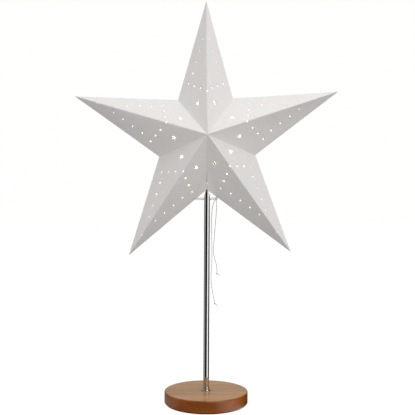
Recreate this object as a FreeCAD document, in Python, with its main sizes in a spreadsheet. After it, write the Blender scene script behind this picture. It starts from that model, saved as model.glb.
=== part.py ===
import FreeCAD, Part
import math
import os

import Sketcher
from FreeCAD import Placement, Rotation, Vector

# A paper star table lamp: a five-pointed folded card star that stands round a small bulb on a
# chromed pole with a round wooden base. Millimetres, +Z up, the front is -Y, and the origin is
# the centre of the base's underside, on the table.

DRIVING_SIZES = {
    # base
    "pad_thickness": 1.5,
    "pad_margin": 2.5,  # how far the felt stays inside the base's edge
    "base_radius": 71.4,
    "base_height": 20.0,
    "base_edge": 1.8,  # rounding of the wooden edges
    "rim_width": 14.7,  # wood left round the recess underneath
    "recess_depth": 12.0,
    "ballast_thickness": 5.0,
    "ballast_eye": 18.0,  # radius of the ballast's middle hole
    "ballast_play": 1.5,
    "notch_width": 30.0,  # the cord's way through the ballast
    "screw_inset": 16.0,  # from the recess wall in to the ballast screws
    "screw_radius": 1.6,
    "screw_head_radius": 3.2,
    "screw_head_height": 2.0,
    "screw_bite": 5.5,
    "pilot_clearance": 0.02,
    "hidden_gap": 0.6,  # between pieces that only pass each other inside the lamp
    # mains inlet
    "cord_bore": 3.1,  # radius that takes a lamp cord
    "bush_wall": 1.9,
    "bush_flange": 0.8,
    "bush_flange_length": 1.1,
    "bush_recess": 0.3,  # how far the bush stays inside the wood
    "bush_gap": 0.4,  # between its flange and the wood
    "cord_axis_height": 6.0,  # above the felt
    "clamp_width": 8.0,
    "clamp_wall": 2.2,
    "clamp_foot": 3.0,
    "clamp_inset": 9.0,  # from the recess wall to the clamp's middle
    "block_width": 20.0,
    "block_depth": 14.0,
    "block_height": 9.0,
    "block_to_clamp": 18.0,
    "block_bore": 1.3,
    "block_pitch": 9.0,
    "block_screw_radius": 1.8,
    "block_screw_play": 0.05,
    # pole
    "pole_radius": 5.0,
    "pole_wall": 1.0,
    "pole_end": 0.8,  # stands past the nut
    "pole_top": 391.0,
    "thread_clearance": 0.05,
    "foot_flange_width": 3.4,  # this and the next three stand out from the pole
    "foot_sleeve_wall": 1.1,
    "washer_width": 7.0,
    "nut_wall": 2.0,
    "foot_flange_height": 1.5,
    "foot_sleeve_height": 6.0,
    "washer_thickness": 1.5,
    "nut_height": 4.0,
    "lead_radius": 0.9,
    "lead_spread": 1.6,
    # bulb holder
    "holder_radius": 12.0,
    "holder_wall": 2.0,
    "holder_neck_wall": 3.0,
    "holder_neck_height": 4.0,
    "holder_ledge": 1.0,  # step inside the cap that the core rests on
    "holder_cap_height": 16.0,
    "holder_grip": 11.0,  # length of pole inside the cap
    "grub_sink": 0.4,
    "terminal_spread": 4.0,
    "core_play": 0.1,
    "core_floor": 5.4,
    "core_height": 22.5,
    "sleeve_lip": 1.0,
    "contact_height": 0.6,
    "shell_radius": 7.05,
    "shell_wall": 0.4,
    "shell_height": 16.6,
    "shade_ring_height": 3.0,
    "lower_ring_width": 4.5,  # this and the next two stand out from the holder
    "upper_ring_width": 2.0,
    "wire_foot_reach": 3.7,
    "ring_place": 8.0,  # height of the lower shade ring over the holder cap
    # bulb
    "bulb_radius": 22.5,
    "bulb_length": 73.0,
    "glass_wall": 0.7,
    "tip_radius": 2.3,
    "tip_height": 1.2,
    "insulator_height": 3.1,
    "cap_radius": 6.95,
    "cap_wall": 0.4,
    "cap_height": 18.2,
    "collar_radius": 8.2,
    "stem_rise": 6.0,  # over the top of the bulb's neck
    "filament_width": 18.0,
    "filament_radius": 0.3,
    # star
    "point_radius": 240.0,
    "valley_drop": 13.5,  # from the bulb holder down to the bottom valley
    "half_depth": 62.0,
    "card_thickness": 0.5,
    "pole_clearance": 2.6,  # from the pole to the card where the bottom valley opens for it
    "seam_gap": 0.6,  # half the width of the unglued seam at that valley
    "seam_length": 44.0,  # how far that seam runs up the valley fold
    "gap_length": 24.0,  # how far the opening runs along the side folds
    "small_hole": 1.75,
    "star_hole": 5.0,
    "star_hole_inner": 1.9,
    "edge_inset": 18.9,
    "edge_start": 69.7,
    "edge_pitch": 20.1,
    "cross_start": 149.0,
    "cross_inset": 14.9,
    "cross_pitch": 16.4,
    "star_hole_along": 181.0,
    "star_hole_inset": 49.8,
    "tip_hole_along": 44.0,
    "eyelet_inset": 3.2,
    "eyelet_radius": 1.1,
    # star support
    "support_ring_width": 5.6,
    "support_ring_height": 2.1,
    "running_clearance": 0.1,
    "wire_radius": 1.2,
    "wire_upright": 11.35,  # straight rise over the ring before the wire bends out
    "wire_bulb_gap": 6.5,  # from the bulb to the wire's widest place
    "wire_card_gap": 1.0,  # beside the wire's top in the top arm
    "wire_top_half": 5.8,
    # tie cord
    "tie_radius": 0.65,
    "tie_slack": 1.6,  # between the tie and the pole
    "tie_knot_radius": 2.0,
    "end_knot_radius": 1.5,
    "tail_length": 5.0,
}

# Hand-folded card never opens quite evenly: the degrees that each point and each valley of the
# opened star stands round from its even place, and the millimetres that it reaches further out,
# clockwise from the top point and from the valley after it.
POINT_SWING = (0.74, 2.41, 0.88, 2.16, 0.23)
POINT_STRETCH = (-1.4, 0.1, 1.2, 1.5, 0.2)
VALLEY_SWING = (4.34, 0.23, -0.4, 1.92, 0.94)
VALLEY_STRETCH = (-2.9, 0.7, 0.3, 1.9, -1.4)
ARM_NAMES = ("top", "upper_right", "lower_right", "lower_left", "upper_left")
BOTTOM_VALLEY = 2
PUNCH_REACH = 2.0
NECK_DOWN = 0.75  # shares of the bulb's radius: how far below its middle the neck joins it,
NECK_WIDE = 0.65  # and the neck's radius there
CROSS_LEAN = 10.4  # degrees that the cross row of holes leans off the square to the side fold
# mm that each arm's punched pattern sits along its ridge, clockwise from the top arm
PUNCH_SLIDES = (-1.5, 5.2, 13.8, 5.2, 3.9)

doc = FreeCAD.newDocument("PaperStarLamp")
sheet = doc.addObject("Spreadsheet::Sheet", "Sizes")


class Length:
    """A length that keeps its number and the spreadsheet expression that gives it."""

    def __init__(self, number, text=None):
        self.number = number
        self.text = text or repr(number)

    def joined(self, other, sign, number):
        text = other.text if isinstance(other, Length) else repr(other)
        return Length(number, f"({self.text} {sign} {text})")

    def __add__(self, other):
        return self.joined(other, "+", self.number + float(other))

    def __sub__(self, other):
        return self.joined(other, "-", self.number - float(other))

    def __mul__(self, other):
        return self.joined(other, "*", self.number * float(other))

    def __truediv__(self, other):
        return self.joined(other, "/", self.number / float(other))

    def __neg__(self):
        return Length(-self.number, f"(-{self.text})")

    def __float__(self):
        return self.number


class Sizes:
    """The driving sizes, each also a cell of the sheet under its own alias."""

    def __init__(self, table):
        for row, (alias, number) in enumerate(table.items(), start=1):
            sheet.set(f"A{row}", alias)
            sheet.set(f"B{row}", str(number))
            sheet.setAlias(f"B{row}", alias)
            setattr(self, alias, Length(number, f"Sizes.{alias}"))


size = Sizes(DRIVING_SIZES)
ZERO = Length(0.0)
finished = []


def keep(label, obj):
    """Name a finished sub-part and put it on the list of those that are written."""
    obj.Label = label
    finished.append(obj)
    return obj


def bind(obj, **lengths):
    """Tie an object's properties to the sheet."""
    for name, length in lengths.items():
        obj.setExpression(name, length.text)


def move(obj, x=ZERO, y=ZERO, z=ZERO):
    """Tie an object's place to the sheet."""
    for axis, length in zip("xyz", (x, y, z)):
        if length is not ZERO:
            obj.setExpression(f"Placement.Base.{axis}", length.text)


def origin_plane(body, role):
    return next(plane for plane in body.Origin.OriginFeatures if plane.Role == role)


def outline_sketch(body, name, corners, plane="XZ_Plane"):
    """A closed outline whose corners' two distances are each tied to the sheet."""
    sketch = body.newObject("Sketcher::SketchObject", name)
    sketch.AttachmentSupport = (origin_plane(body, plane), [""])
    sketch.MapMode = "FlatFace"
    spots = [Vector(float(across), float(up), 0) for across, up in corners]
    for start, end in zip(spots, spots[1:] + spots[:1]):
        sketch.addGeometry(Part.LineSegment(start, end), False)
    count = len(spots)
    for edge in range(count):
        sketch.addConstraint(Sketcher.Constraint("Coincident", edge, 2, (edge + 1) % count, 1))
    for edge, pair in enumerate(corners):
        for kind, length, axis in zip(("DistanceX", "DistanceY"), pair, (-2, -1)):
            if float(length) == 0:
                sketch.addConstraint(Sketcher.Constraint("PointOnObject", edge, 1, axis))
                continue
            held = Sketcher.Constraint(kind, -1, 1, edge, 1, float(length))
            place = sketch.addConstraint(held)
            if isinstance(length, Length):
                sketch.setExpression(f"Constraints[{place}]", length.text)
    return sketch


def turned(label, corners, x=ZERO, y=ZERO):
    """A body turned about the vertical axis from (radius, height) corners."""
    body = doc.addObject("PartDesign::Body", label)
    sketch = outline_sketch(body, f"{label}_outline", corners)
    turn = body.newObject("PartDesign::Revolution", f"{label}_turn")
    turn.Profile = sketch
    turn.ReferenceAxis = (sketch, ["V_Axis"])
    turn.Angle = 360
    sketch.Visibility = False
    move(body, x, y)
    return body


def ring(label, inner, outer, low, high, **place):
    """A plain ring or tube between two radii and two heights."""
    return turned(label, [(inner, low), (outer, low), (outer, high), (inner, high)], **place)


def cylinder(name, radius, height, x=ZERO, y=ZERO, z=ZERO, towards=None):
    solid = doc.addObject("Part::Cylinder", name)
    bind(solid, Radius=radius, Height=height)
    if towards is not None:
        solid.Placement = Placement(Vector(), Rotation(Vector(0, 0, 1), towards))
    move(solid, x, y, z)
    return solid


def block(name, width, depth, height, x=ZERO, y=ZERO, z=ZERO):
    """A box centred on x and y that stands on z."""
    solid = doc.addObject("Part::Box", name)
    bind(solid, Length=width, Width=depth, Height=height)
    move(solid, x - width / 2, y - depth / 2, z)
    return solid


def cut(name, base, *tools):
    """The base with each tool taken out of it."""
    tool = tools[0]
    if len(tools) > 1:
        tool = doc.addObject("Part::Compound", f"{name}_tools")
        tool.Links = list(tools)
    result = doc.addObject("Part::Cut", name)
    result.Base = base
    result.Tool = tool
    return result


def fused(name, *solids):
    result = doc.addObject("Part::MultiFuse", name)
    result.Shapes = list(solids)
    return result


def shaped(label, shape):
    """A sub-part whose shape comes straight from Part's functions."""
    obj = doc.addObject("Part::Feature", label)
    obj.Shape = shape
    obj.Placement = Placement()
    return keep(label, obj)


# Heights that several pieces share.
felt_top = size.pad_thickness
base_top = felt_top + size.base_height
recess_top = felt_top + size.recess_depth
cord_height = felt_top + size.cord_axis_height
washer_low = recess_top - size.washer_thickness
nut_low = washer_low - size.nut_height
pole_low = nut_low - size.pole_end
cap_low = size.pole_top - size.holder_grip
cap_high = cap_low + size.holder_cap_height
core_seat = cap_high + size.core_floor
bulb_low = core_seat + size.contact_height
bulb_centre = bulb_low + size.bulb_length - size.bulb_radius
valley_radius = bulb_centre - cap_low + size.valley_drop
insulator_low = bulb_low + size.tip_height
bulb_cap_low = insulator_low + size.insulator_height
bulb_cap_high = bulb_cap_low + size.cap_height
lower_ring_low = cap_high + size.ring_place
support_ring_low = lower_ring_low + size.shade_ring_height + size.running_clearance / 2
support_ring_high = support_ring_low + size.support_ring_height
upper_ring_low = support_ring_high + size.running_clearance / 2


# Distances from the middle that several pieces share.
pole_fit = size.pole_radius + size.thread_clearance
recess_radius = size.base_radius - size.rim_width
clamp_place = recess_radius - size.clamp_inset
block_place = clamp_place - size.block_to_clamp
washer_radius = size.pole_radius + size.washer_width
holder_inside = size.holder_radius - size.holder_wall


def screw_places(count, first_degrees):
    """Where the ballast screws stand, as (x, y) lengths on their circle."""
    circle = recess_radius - size.screw_inset
    turns = [math.radians(first_degrees + 360 * index / count) for index in range(count)]
    return [(circle * math.cos(turn), circle * math.sin(turn)) for turn in turns]


BALLAST_SCREWS = screw_places(3, 30)


def make_base():
    """The turned wooden foot, its felt, its steel ballast and the screws."""
    wood = turned("wooden_foot", [
        (pole_fit, base_top),
        (pole_fit, recess_top),
        (recess_radius, recess_top),
        (recess_radius, felt_top),
        (size.base_radius, felt_top),
        (size.base_radius, base_top),
    ])
    doc.recompute()
    turning = wood.Tip
    outer_radius = float(size.base_radius)
    rims = [f"Edge{index}" for index, edge in enumerate(wood.Shape.Edges, start=1)
            if math.isclose(getattr(edge.Curve, "Radius", 0.0), outer_radius, rel_tol=1e-6)]
    rounding = wood.newObject("PartDesign::Fillet", "rounded_rims")
    rounding.Base = (turning, rims)
    bind(rounding, Radius=size.base_edge)
    wood.Tip = rounding

    pilot = size.screw_radius + size.pilot_clearance
    tools = [cylinder("inlet_bore", size.cord_bore + size.bush_wall + size.pilot_clearance,
                      size.base_radius, z=cord_height, towards=Vector(0, 1, 0))]
    for index, (x, y) in enumerate(BALLAST_SCREWS):
        tools.append(cylinder(f"pilot_{index}", pilot, size.screw_bite, x, y, recess_top))
    for index, x in enumerate(clamp_screw_places()):
        tools.append(cylinder(f"clamp_pilot_{index}", pilot, size.screw_bite, x,
                              clamp_place, recess_top))
    keep("wooden_base", cut("wooden_base", wood, *tools))

    pad_radius = size.base_radius - size.pad_margin
    keep("base_pad", cylinder("base_pad", pad_radius, size.pad_thickness))

    ballast_low = recess_top - size.ballast_thickness
    outer = recess_radius - size.ballast_play
    disc = ring("ballast_disc", size.ballast_eye, outer, ballast_low, recess_top)
    notch = block("ballast_notch", size.notch_width, outer, size.ballast_thickness,
                  y=outer / 2 + size.ballast_play, z=ballast_low)
    holes = [cylinder(f"ballast_hole_{index}", pilot, size.ballast_thickness, x, y, ballast_low)
             for index, (x, y) in enumerate(BALLAST_SCREWS)]
    keep("base_ballast", cut("base_ballast", disc, notch, *holes))

    screws = [screw(f"ballast_screw_{index}", x, y, ballast_low, size.ballast_thickness)
              for index, (x, y) in enumerate(BALLAST_SCREWS)]
    keep("ballast_screws", grouped("ballast_screws", screws))


def screw(name, x, y, seat, through):
    """A round-head wood screw that points up, its head under the seat."""
    head = cylinder(f"{name}_head", size.screw_head_radius, size.screw_head_height,
                    x, y, seat - size.screw_head_height)
    shank = cylinder(f"{name}_shank", size.screw_radius, through + size.screw_bite, x, y, seat)
    return fused(name, head, shank)


def grouped(name, solids):
    group = doc.addObject("Part::Compound", name)
    group.Links = solids
    return group


def clamp_screw_places():
    """How far to each side of the cord the clamp's two screws stand."""
    side = size.cord_bore + size.clamp_wall + size.screw_head_radius + size.hidden_gap
    return [-side, side]


def make_inlet():
    """Where a lamp cord comes in: bush, clamp with its screws, and terminal block."""
    bush_radius = size.cord_bore + size.bush_wall
    bush_start = recess_radius - size.bush_gap - size.bush_flange_length
    bush_length = size.base_radius - bush_start - size.bush_recess
    back = Vector(0, 1, 0)
    body = cylinder("bush_body", bush_radius, bush_length, y=bush_start, z=cord_height, towards=back)
    flange = cylinder("bush_flange", bush_radius + size.bush_flange,
                      size.bush_flange_length, y=bush_start, z=cord_height, towards=back)
    bore = cylinder("bush_bore", size.cord_bore, bush_length, y=bush_start, z=cord_height,
                    towards=back)
    keep("cord_bush", cut("cord_bush", fused("bush_blank", body, flange), bore))

    inside = (size.cord_bore + size.pilot_clearance) * 2
    saddle_low = cord_height - size.cord_bore - size.clamp_wall
    foot_low = recess_top - size.clamp_foot
    half_foot = clamp_screw_places()[1] + size.screw_head_radius
    saddle = block("clamp_saddle", inside + size.clamp_wall * 2, size.clamp_width,
                   foot_low - saddle_low, y=clamp_place, z=saddle_low)
    feet = block("clamp_feet", half_foot * 2, size.clamp_width, size.clamp_foot,
                 y=clamp_place, z=foot_low)
    slot = block("clamp_slot", inside, size.clamp_width, recess_top - saddle_low - size.clamp_wall,
                 y=clamp_place, z=saddle_low + size.clamp_wall)
    holes = [cylinder(f"clamp_hole_{index}", size.screw_radius + size.pilot_clearance,
                      size.clamp_foot, x, clamp_place, foot_low)
             for index, x in enumerate(clamp_screw_places())]
    blank = fused("clamp_blank", saddle, feet)
    keep("cord_clamp", cut("cord_clamp", blank, slot, *holes))
    screws = [screw(f"clamp_screw_{index}", x, clamp_place, foot_low, size.clamp_foot)
              for index, x in enumerate(clamp_screw_places())]
    keep("clamp_screws", grouped("clamp_screws", screws))

    block_low = recess_top - size.block_height
    body = block("block_body", size.block_width, size.block_depth, size.block_height,
                 y=block_place, z=block_low)
    bores = []
    screws = []
    wire_height = lead_height()
    for side in (-1, 1):
        x = size.block_pitch / 2 * side
        bores.append(cylinder(f"block_bore_{side + 1}", size.block_bore, size.block_depth, x,
                              block_place - size.block_depth / 2, wire_height, Vector(0, 1, 0)))
        for end in (-1, 1):
            y = block_place + size.block_depth / 4 * end
            tag = f"{side + 1}_{end + 1}"
            depth = size.block_height / 2 - size.block_bore
            bores.append(cylinder(f"screw_well_{tag}", size.block_screw_radius + size.block_screw_play, depth, x, y,
                                  block_low))
            screws.append(cylinder(f"block_screw_{tag}", size.block_screw_radius, depth, x, y,
                                   block_low))
    keep("terminal_block", cut("terminal_block", body, *bores))
    keep("terminal_screws", grouped("terminal_screws", screws))


def lead_height():
    """Height of the wires where they leave the terminal block."""
    return recess_top - size.block_height / 2


def make_pole():
    """The chromed tube, the collar at its foot, and the washer and nut that hold it."""
    inner = size.pole_radius - size.pole_wall
    keep("pole", ring("pole", inner, size.pole_radius, pole_low, size.pole_top))
    flange_radius = size.pole_radius + size.foot_flange_width
    flange_top = base_top + size.foot_flange_height
    sleeve_radius = size.pole_radius + size.foot_sleeve_wall
    sleeve_top = base_top + size.foot_sleeve_height
    keep("pole_collar", turned("pole_collar", [
        (pole_fit, base_top),
        (flange_radius, base_top),
        (flange_radius, flange_top),
        (sleeve_radius, flange_top),
        (sleeve_radius, sleeve_top),
        (pole_fit, sleeve_top),
    ]))
    keep("pole_washer", ring("pole_washer", pole_fit, washer_radius, washer_low, recess_top))
    blank = doc.addObject("Part::Prism", "nut_blank")
    blank.Polygon = 6
    half_flats = size.pole_radius + size.nut_wall
    bind(blank, Circumradius=half_flats * (2 / math.sqrt(3)), Height=size.nut_height)
    move(blank, z=nut_low)
    bore = cylinder("nut_bore", pole_fit, size.nut_height, z=nut_low)
    keep("pole_nut", cut("pole_nut", blank, bore))


def rounded_path(points, label=None):
    """Straight runs joined by tangent arcs. Each arc is as large as its two runs allow: 0.45 of
    the shorter run over the tangent of half the turn."""
    spots = [Vector(*point) for point in points]
    edges = []
    radii = []
    start = spots[0]
    for before, corner, after in zip(spots, spots[1:], spots[2:]):
        come = (corner - before).normalize()
        leave = (after - corner).normalize()
        half_turn = come.getAngle(leave) / 2
        reach = 0.45 * min((corner - before).Length, (after - corner).Length)
        radius = reach / math.tan(half_turn)
        radii.append(radius)
        arc_start = corner - come * reach
        arc_end = corner + leave * reach
        inward = (leave - come).normalize()
        middle = corner + inward * (radius / math.cos(half_turn) - radius)
        edges.append(Part.LineSegment(start, arc_start).toShape())
        edges.append(Part.Arc(arc_start, middle, arc_end).toShape())
        start = arc_end
    edges.append(Part.LineSegment(start, spots[-1]).toShape())
    if label:
        print(label, "length %.1f" % sum(edge.Length for edge in edges), "arc radii",
              " ".join("%.1f" % radius for radius in radii))
    return Part.Wire(edges)


def tube_along(points, radius, label):
    """A round solid along a rounded path, whose volume is its section times its length."""
    radius = float(radius)
    path = rounded_path(points, label)
    along = Vector(*points[1]) - Vector(*points[0])
    rim = Part.Wire(Part.makeCircle(radius, Vector(*points[0]), along))
    solid = path.makePipeShell([rim], True, False)
    expected = math.pi * radius ** 2 * path.Length
    if abs(solid.Volume - expected) > 0.01 * expected:
        raise ValueError(f"{label} has the wrong volume")
    return solid


def make_leads():
    """The two insulated leads from the terminal block, under the nut and up inside the pole."""
    clear = float(size.lead_radius + size.hidden_gap)
    low = float(felt_top) + clear + 1.0
    front = float(block_place - size.block_depth / 2)
    under_washer = float(washer_radius) + clear
    top = float(cap_high - size.screw_head_height - size.hidden_gap)
    for name, side in (("lead_live", 1), ("lead_neutral", -1)):
        out = side * float(size.block_pitch) / 2
        near = side * float(size.lead_spread)
        inside_block = front + 3.0
        shape = tube_along([
            (out, inside_block, float(lead_height())),
            (out, front - 5.0, float(lead_height()) - 0.4),
            (out * 0.75, under_washer - 2.5, low + 0.4),
            (near, 0.3, low),
            (near, 0.0, low + 12.0),
            (near * 1.01, 0.0, float(size.pole_top)),
            (side * float(size.terminal_spread), 0.0, top),
        ], size.lead_radius, name)
        shaped(name, shape)


def make_holder():
    """The screw-in bulb holder on the pole's top: cap, core, contacts, shell, sleeve and rings."""
    ledge_radius = holder_inside - size.holder_ledge
    neck_radius = size.pole_radius + size.holder_neck_wall
    pole_bore = size.pole_radius - size.pole_wall
    shoulder_low = cap_low + size.holder_neck_height
    pole_stop = size.pole_top + size.hidden_gap
    cap = turned("cap_blank", [
        (pole_fit, cap_low),
        (neck_radius, cap_low),
        (neck_radius, shoulder_low),
        (size.holder_radius, shoulder_low + size.holder_neck_height),
        (size.holder_radius, cap_high),
        (ledge_radius, cap_high),
        (ledge_radius, pole_stop),
        (pole_bore, pole_stop),
        (pole_bore, size.pole_top),
        (pole_fit, size.pole_top),
    ])
    grub_height = cap_low + size.holder_neck_height / 2
    back = Vector(0, 1, 0)
    well = cylinder("grub_well", size.screw_radius, neck_radius, z=grub_height, towards=back)
    keep("holder_cap", cut("holder_cap", cap, well))
    grub_length = neck_radius - pole_fit - size.grub_sink
    keep("holder_grub_screw", cylinder("holder_grub_screw", size.screw_radius - size.pilot_clearance,
                                       grub_length, y=pole_fit, z=grub_height, towards=back))

    core_radius = holder_inside - size.core_play
    core_top = cap_high + size.core_height
    well_radius = size.shell_radius + size.shell_wall + size.thread_clearance
    keep("holder_core", turned("holder_core", [
        (ZERO, cap_high),
        (core_radius, cap_high),
        (core_radius, core_top),
        (well_radius, core_top),
        (well_radius, core_seat),
        (ZERO, core_seat),
    ]))
    terminals = [cylinder(f"terminal_{side + 1}", size.screw_radius, size.screw_head_height,
                          x=size.terminal_spread * side, z=cap_high - size.screw_head_height)
                 for side in (-1, 1)]
    keep("holder_terminals", grouped("holder_terminals", terminals))
    keep("centre_contact", cylinder("centre_contact", size.tip_radius + 1, size.contact_height,
                                    z=core_seat))
    keep("screw_shell", ring("screw_shell", size.shell_radius, size.shell_radius + size.shell_wall,
                             core_seat, core_seat + size.shell_height))
    keep("holder_sleeve", ring("holder_sleeve", holder_inside, size.holder_radius, cap_high,
                               core_top + size.sleeve_lip))
    bore = size.holder_radius + size.thread_clearance
    keep("lower_shade_ring", ring("lower_shade_ring", bore,
                                  size.holder_radius + size.lower_ring_width, lower_ring_low,
                                  lower_ring_low + size.shade_ring_height))
    keep("upper_shade_ring", ring("upper_shade_ring", bore,
                                  size.holder_radius + size.upper_ring_width, upper_ring_low,
                                  upper_ring_low + size.shade_ring_height))


def make_bulb():
    """A round clear filament bulb with a 14 mm screw cap."""
    keep("bulb_tip", cylinder("bulb_tip", size.tip_radius, size.tip_height - 0.02,
                              z=bulb_low + 0.02))
    keep("bulb_insulator", turned("bulb_insulator", [
        (ZERO, insulator_low),
        (size.tip_radius + 0.3, insulator_low),
        (size.cap_radius - 1.2, bulb_cap_low),
        (ZERO, bulb_cap_low),
    ]))
    straight_top = bulb_cap_high - 3.5
    keep("bulb_cap", turned("bulb_cap", [
        (size.tip_radius, bulb_cap_low),
        (size.cap_radius - 0.6, bulb_cap_low),
        (size.cap_radius, bulb_cap_low + 0.8),
        (size.cap_radius, straight_top),
        (size.collar_radius, bulb_cap_high),
        (size.collar_radius - size.cap_wall, bulb_cap_high),
        (size.cap_radius - size.cap_wall, straight_top),
        (size.cap_radius - size.cap_wall, bulb_cap_low + size.cap_wall + 0.4),
        (size.tip_radius, bulb_cap_low + size.cap_wall),
    ]))

    neck_height = bulb_centre - size.bulb_radius * NECK_DOWN - bulb_cap_high
    globes = []
    for name, inset in (("outer", Length(0.0)), ("inner", size.glass_wall)):
        globe = doc.addObject("Part::Sphere", f"{name}_globe")
        bind(globe, Radius=size.bulb_radius - inset)
        move(globe, z=bulb_centre)
        neck = doc.addObject("Part::Cone", f"{name}_neck")
        bind(neck, Radius1=size.collar_radius - 0.3 - inset,
             Radius2=size.bulb_radius * NECK_WIDE - inset, Height=neck_height)
        move(neck, z=bulb_cap_high)
        globes.append(fused(f"{name}_glass", globe, neck))
    keep("bulb_glass", cut("bulb_glass", *globes))

    stem_top = bulb_cap_high + neck_height + size.stem_rise
    keep("bulb_stem", turned("bulb_stem", [
        (ZERO, bulb_cap_high),
        (Length(5.0), bulb_cap_high),
        (Length(2.2), bulb_cap_high + neck_height),
        (Length(1.4), stem_top),
        (ZERO, stem_top),
    ]))
    half = float(size.filament_width) / 2
    height = float(bulb_centre) + 2
    foot = float(stem_top)
    posts = [tube_along([(side * 0.8, 0, foot), (side * 1.4, 0, foot + 3), (side * half, 0, height)],
                        size.filament_radius, "filament support") for side in (-1, 1)]
    shaped("filament_supports", Part.makeCompound(posts))
    end = Vector(half, 0, height)
    sag = Part.Arc(-end + Vector(0, 0, 2 * height), Vector(0, 0, height + 4), end).toShape()
    start = sag.Vertexes[0].Point
    rim = Part.Wire(Part.makeCircle(float(size.filament_radius) * 1.6, start, sag.tangentAt(0)))
    shaped("filament", Part.Wire(sag).makePipeShell([rim], True, False))


STAR_CENTRE = Vector(0, 0, float(bulb_centre))


def star_corners(radius, first_degrees, swings, stretches):
    """Five corners of the star's outline, which stands upright in the XZ plane."""
    corners = []
    for place, (swing, stretch) in enumerate(zip(swings, stretches)):
        turn = math.radians(first_degrees - 72 * place + swing)
        reach = float(radius) + stretch
        corners.append(STAR_CENTRE + Vector(reach * math.cos(turn), 0, reach * math.sin(turn)))
    return corners


POINTS = star_corners(size.point_radius, 90, POINT_SWING, POINT_STRETCH)
VALLEYS = star_corners(valley_radius, 54, VALLEY_SWING, VALLEY_STRETCH)


def plane_distance(corners):
    """How far the plane of three corners passes from the star's centre."""
    normal = (corners[1] - corners[0]).cross(corners[2] - corners[0]).normalize()
    return abs(normal.dot(corners[0] - STAR_CENTRE))


def leaf(corners, shrink):
    """A flat card leaf. Its inner face is its outer one drawn in towards the star's centre, so
    that leaves meet along the folds without a gap."""
    inner = [STAR_CENTRE + (corner - STAR_CENTRE) * shrink for corner in corners]
    rings = [corners, inner[::-1]]
    count = len(corners)
    for place in range(count):
        after = (place + 1) % count
        rings.append([corners[place], inner[place], inner[after], corners[after]])
    faces = [Part.Face(Part.makePolygon(spots + spots[:1])) for spots in rings]
    solid = Part.Solid(Part.Shell(faces))
    if solid.Volume < 0:
        solid.reverse()
    return solid


class Panel:
    """One side of an arm: its tip, its valley and the middle of the star's front or back. Its
    punched pattern starts a slide along the ridge from the tip."""

    def __init__(self, tip, valley, middle, slide):
        self.start = tip + (middle - tip).normalize() * slide
        self.along = (valley - tip).normalize()
        across = middle - tip
        self.across = (across - self.along * across.dot(self.along)).normalize()
        self.out = self.along.cross(self.across)
        if self.out.dot(tip - STAR_CENTRE) < 0:
            self.out = -self.out

    def spot(self, along, inset):
        return self.start + self.along * along + self.across * inset

    def round_punch(self, along, inset, radius):
        start = self.spot(along, inset) - self.out * PUNCH_REACH
        return Part.makeCylinder(radius, 2 * PUNCH_REACH, start, self.out)

    def star_punch(self, along, inset):
        """A five-pointed punch with one point towards the arm's tip."""
        rim = []
        for step in range(10):
            reach = float(size.star_hole if step % 2 == 0 else size.star_hole_inner)
            turn = math.radians(180 + 36 * step)
            rim.append(self.spot(along + reach * math.cos(turn), inset + reach * math.sin(turn))
                       - self.out * PUNCH_REACH)
        return Part.Face(Part.makePolygon(rim + rim[:1])).extrude(self.out * 2 * PUNCH_REACH)


def panel_punches(panel):
    """The row along the side fold, the cross row and the large star of one panel."""
    radius = float(size.small_hole)
    punches = [panel.round_punch(float(size.edge_start + size.edge_pitch * step),
                                 float(size.edge_inset), radius) for step in range(4)]
    lean = math.radians(CROSS_LEAN)
    for step in range(3):
        reach = float(size.cross_pitch) * step
        punches.append(panel.round_punch(float(size.cross_start) + reach * math.sin(lean),
                                         float(size.cross_inset) + reach * math.cos(lean), radius))
    punches.append(panel.star_punch(float(size.star_hole_along), float(size.star_hole_inset)))
    return punches


def ridge_punches(tip, middle, slide):
    """The two holes on a ridge, each shared by the leaves on both sides of it."""
    ridge = (middle - tip).normalize()
    out = Vector(0, middle.y, 0).normalize()
    out = (out - ridge * out.dot(ridge)).normalize()
    cross_along = float(size.cross_start + size.cross_pitch * 3 * math.sin(math.radians(CROSS_LEAN)))
    cross_reach = float(size.cross_inset) + 3 * float(size.cross_pitch)
    places = (float(size.tip_hole_along), math.hypot(cross_along, cross_reach) + slide)
    return [Part.makeCylinder(float(size.small_hole), 2 * PUNCH_REACH,
                              tip + ridge * place - out * PUNCH_REACH, out) for place in places]


def eyelet_spot(arm):
    """Where the tie cord goes through a lower arm, just inside its side fold."""
    tip = POINTS[arm]
    valley = VALLEYS[BOTTOM_VALLEY]
    fold = (tip - valley).normalize()
    inward = Vector(-fold.z, 0, fold.x)
    if inward.dot(STAR_CENTRE - valley) < 0:
        inward = -inward
    return valley + fold * float(size.gap_length) + inward * float(size.eyelet_inset)


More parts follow.
